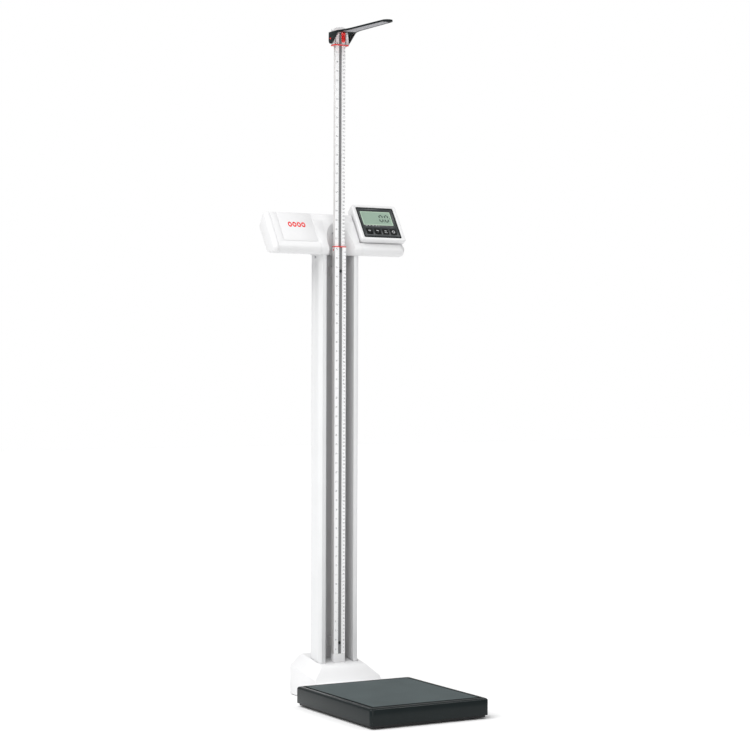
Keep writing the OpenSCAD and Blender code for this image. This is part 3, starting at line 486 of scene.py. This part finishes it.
def ruler(name, node, unit, step, reading, tick_side):
    """Marks on a ruler strip: a number at every unit and a tick at every step.

    reading(z) gives the value at a height, and reading(value, True) the height of a value."""
    lo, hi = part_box(node)
    middle = (lo.x + hi.x) / 2
    marks = Marks((middle, lo.y, 0), (1, 0, 0), (0, 0, 1))
    edge = (hi.x - lo.x) / 2 / MM * tick_side
    low, high = sorted((reading(lo.z / MM + END_MARGIN), reading(hi.z / MM - END_MARGIN)))
    for k in range(math.ceil(low / step), math.floor(high / step) + 1):
        value = k * step
        z = reading(value, True)
        whole = abs(value / unit - round(value / unit)) < 1e-6
        length = LONG_TICK if whole else SHORT_TICK
        marks.bar(edge - tick_side * (length / 2 + TICK_MARGIN), z, length, TICK_LINE)
        if whole:
            number(marks, round(value / unit), -tick_side * NUMBER_SHIFT, z, NUMBER_H)
    marks.finish(name, node, ink, "black_plastic")


FLOOR_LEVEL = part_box("tread_mat")[1].z / MM
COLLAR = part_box("rod_index_collar")[1].z / MM
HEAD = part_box("head_index_line")[0].z / MM


def straight(z, back=False):
    """The outer rod is read as the height above the mat."""
    return z + FLOOR_LEVEL if back else z - FLOOR_LEVEL


def telescoped(z, back=False):
    """The inner rod is read at the collar, as the height of the head; the sum is its own inverse."""
    return COLLAR + HEAD - FLOOR_LEVEL - z


INCH = 25.4
ruler("cm_marks_outer", "cm_scale_outer", 10, 5, straight, -1)
ruler("cm_marks_inner", "cm_scale_inner", 10, 5, telescoped, -1)
ruler("inch_marks_outer", "inch_scale_outer", INCH, INCH / 4, straight, 1)
ruler("inch_marks_inner", "inch_scale_inner", INCH, INCH / 4, telescoped, 1)

# ---------- display ----------
OUT = -Vector(joints["key_press_send"]["axis"])
middle, lcd_w, lcd_h, right, up = face_of("lcd_panel", OUT)
readout = Marks(middle, right, up)
DIGIT_W = 13.0
DIGIT_H = 25.0
DIGIT_PEN = 3.5
PRINT = 0.12
POINT = 2.2
for x in (14.2, 31.4):
    numeral(readout, "0", x, 0, DIGIT_W, DIGIT_H, DIGIT_PEN, high=PRINT, lean=0.06)
readout.bar(22.6, 1.2 - DIGIT_H / 2, POINT, POINT, high=PRINT)
readout.bar(42, 1.2, 1.1, 4.6, high=PRINT)
readout.bar(43.8, -0.2, 1.6, 1.8, high=PRINT)
readout.finish("readout_digits", "lcd_panel", lcd_ink, "black_plastic")
border = Marks(middle, right, up)
border.frame(lcd_w - 0.2, lcd_h - 0.2, 2.4, 0.6, high=PRINT)
border.finish("readout_border", "lcd_panel", lcd_border, "lcd")

middle, window_w, window_h, right, up = face_of("display_window", OUT)
rim = Marks(middle, right, up)
rim.frame(window_w - 0.3, window_h - 0.3, 3.4, 4, low=-0.1, high=PRINT)
rim.finish("window_border", "display_window", window_edge, "window_dark")
legend = Marks(middle, right, up)
for x, w in ((-41, 6), (-31, 4.2), (-20, 5), (-10, 4), (-2, 2.4)):
    legend.bar(x, -10.6, w, 1.5)
legend.finish("window_legend", "display_window", key_print, "ruler_white")

key_marks = {}
for node in ("key_send", "key_tare", "key_hold", "key_power"):
    middle, _, _, right, up = face_of(node, OUT)
    key_marks[node] = Marks(middle, right, up)
for node, w in (("key_send", 7.6), ("key_tare", 6.8), ("key_hold", 6.4)):
    for x in (-0.38, -0.13, 0.13, 0.38):
        key_marks[node].bar(x * w, 2.6, w * 0.2, 2.4)
    key_marks[node].bar(0, -2.6, 2.2, 0.9)
key_marks["key_hold"].frame(9.5, 3.2, 0.5, 1.2, y=-3.2)
key_marks["key_power"].ring(0, 0, 4.4, 3.0, start=110, sweep=320)
key_marks["key_power"].bar(0, 3.4, 1.2, 3.4)
for node, marks in key_marks.items():
    marks.finish(node + "_print", node, key_print, "ruler_white")

# ---------- four plain rings on the battery door ----------
DOOR_OUT = Vector(joints["door_release"]["axis"])
middle, _, _, right, up = face_of("battery_door", DOOR_OUT)
emblem = Marks(middle, right, up)
RING_PITCH = 13.6
RING_Y = 10
for k in range(4):
    emblem.ring((k - 1.5) * RING_PITCH, RING_Y, 8.6, 3.8, stretch=0.72, high=0.15)
emblem.finish("door_emblem", "battery_door", finishes["red_plastic"], "red_plastic")
